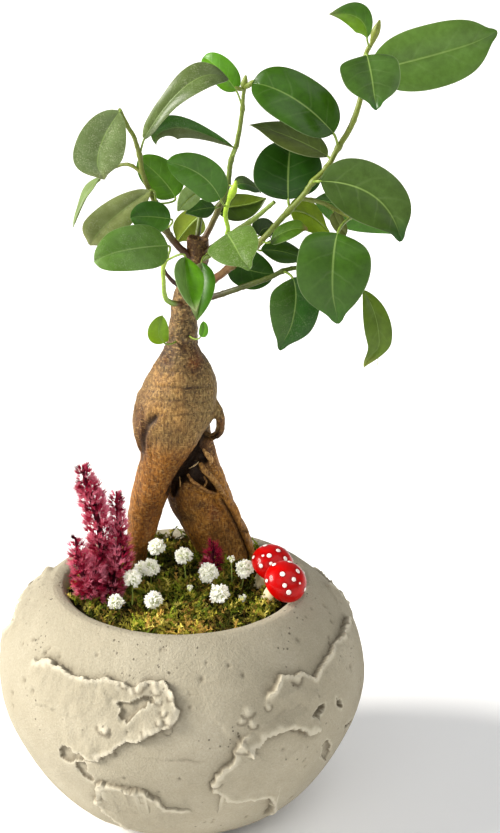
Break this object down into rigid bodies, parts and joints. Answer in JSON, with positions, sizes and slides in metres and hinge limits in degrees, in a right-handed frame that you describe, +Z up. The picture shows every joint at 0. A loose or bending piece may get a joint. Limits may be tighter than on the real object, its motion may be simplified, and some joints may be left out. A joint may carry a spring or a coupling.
{
  "type": "potted ficus ginseng bonsai",
  "caption": "Ficus ginseng bonsai with swollen forked roots and leafy shoots in a round weathered concrete bowl, underplanted with moss, heather, gypsophila and toadstool picks.",
  "frame": {"origin": "middle of the flat underside of the bowl", "axes": "+Z up from the bowl's base to the crown, -Y towards the front, +X to the right as seen from the front"},
  "size_m": [0.2115, 0.161, 0.3602],
  "materials": {
    "concrete": "matte",
    "soil": "matte",
    "moss": "matte",
    "bark": "matte",
    "young_bark": "satin",
    "leaf": "satin",
    "heather": "matte",
    "gypsophila": "matte",
    "toadstool_cap": "gloss",
    "toadstool_stalk": "matte"
  },
  "bodies": {
    "root": {"bowl": "concrete", "soil": "soil", "moss": "moss", "trunk": "bark", "main_shoot": "young_bark", "centre_shoot": "young_bark", "left_shoot": "young_bark", "low_left_shoot": "young_bark", "dry_twig": "bark", "low_right_shoot": "young_bark", "front_shoot": "young_bark", "right_shoot": "young_bark", "back_shoot": "young_bark", "leaf_01": "leaf", "leaf_02": "leaf", "leaf_03": "leaf", "leaf_04": "leaf", "leaf_05": "leaf", "leaf_06": "leaf", "leaf_07": "leaf", "leaf_08": "leaf", "leaf_09": "leaf", "leaf_10": "leaf", "leaf_11": "leaf", "leaf_12": "leaf", "leaf_13": "leaf", "leaf_14": "leaf", "leaf_15": "leaf", "leaf_16": "leaf", "leaf_17": "leaf", "leaf_18": "leaf", "leaf_19": "leaf", "leaf_20": "leaf", "leaf_21": "leaf", "leaf_22": "leaf", "leaf_23": "leaf", "leaf_24": "leaf", "leaf_25": "leaf", "leaf_26": "leaf", "leaf_27": "leaf", "leaf_28": "leaf", "leaf_29": "leaf", "leaf_30": "leaf", "leaf_31": "leaf", "leaf_32": "leaf", "leaf_33": "leaf", "leaf_34": "leaf", "leaf_35": "leaf", "leaf_36": "leaf", "leaf_37": "leaf", "heather_sprig": "heather", "heather_tip": "heather", "gypsophila_1": "gypsophila", "gypsophila_2": "gypsophila", "gypsophila_3": "gypsophila", "gypsophila_4": "gypsophila", "front_toadstool_cap": "toadstool_cap", "front_toadstool_stalk": "toadstool_stalk", "back_toadstool_cap": "toadstool_cap", "back_toadstool_stalk": "toadstool_stalk"}
  },
  "joints": []
}
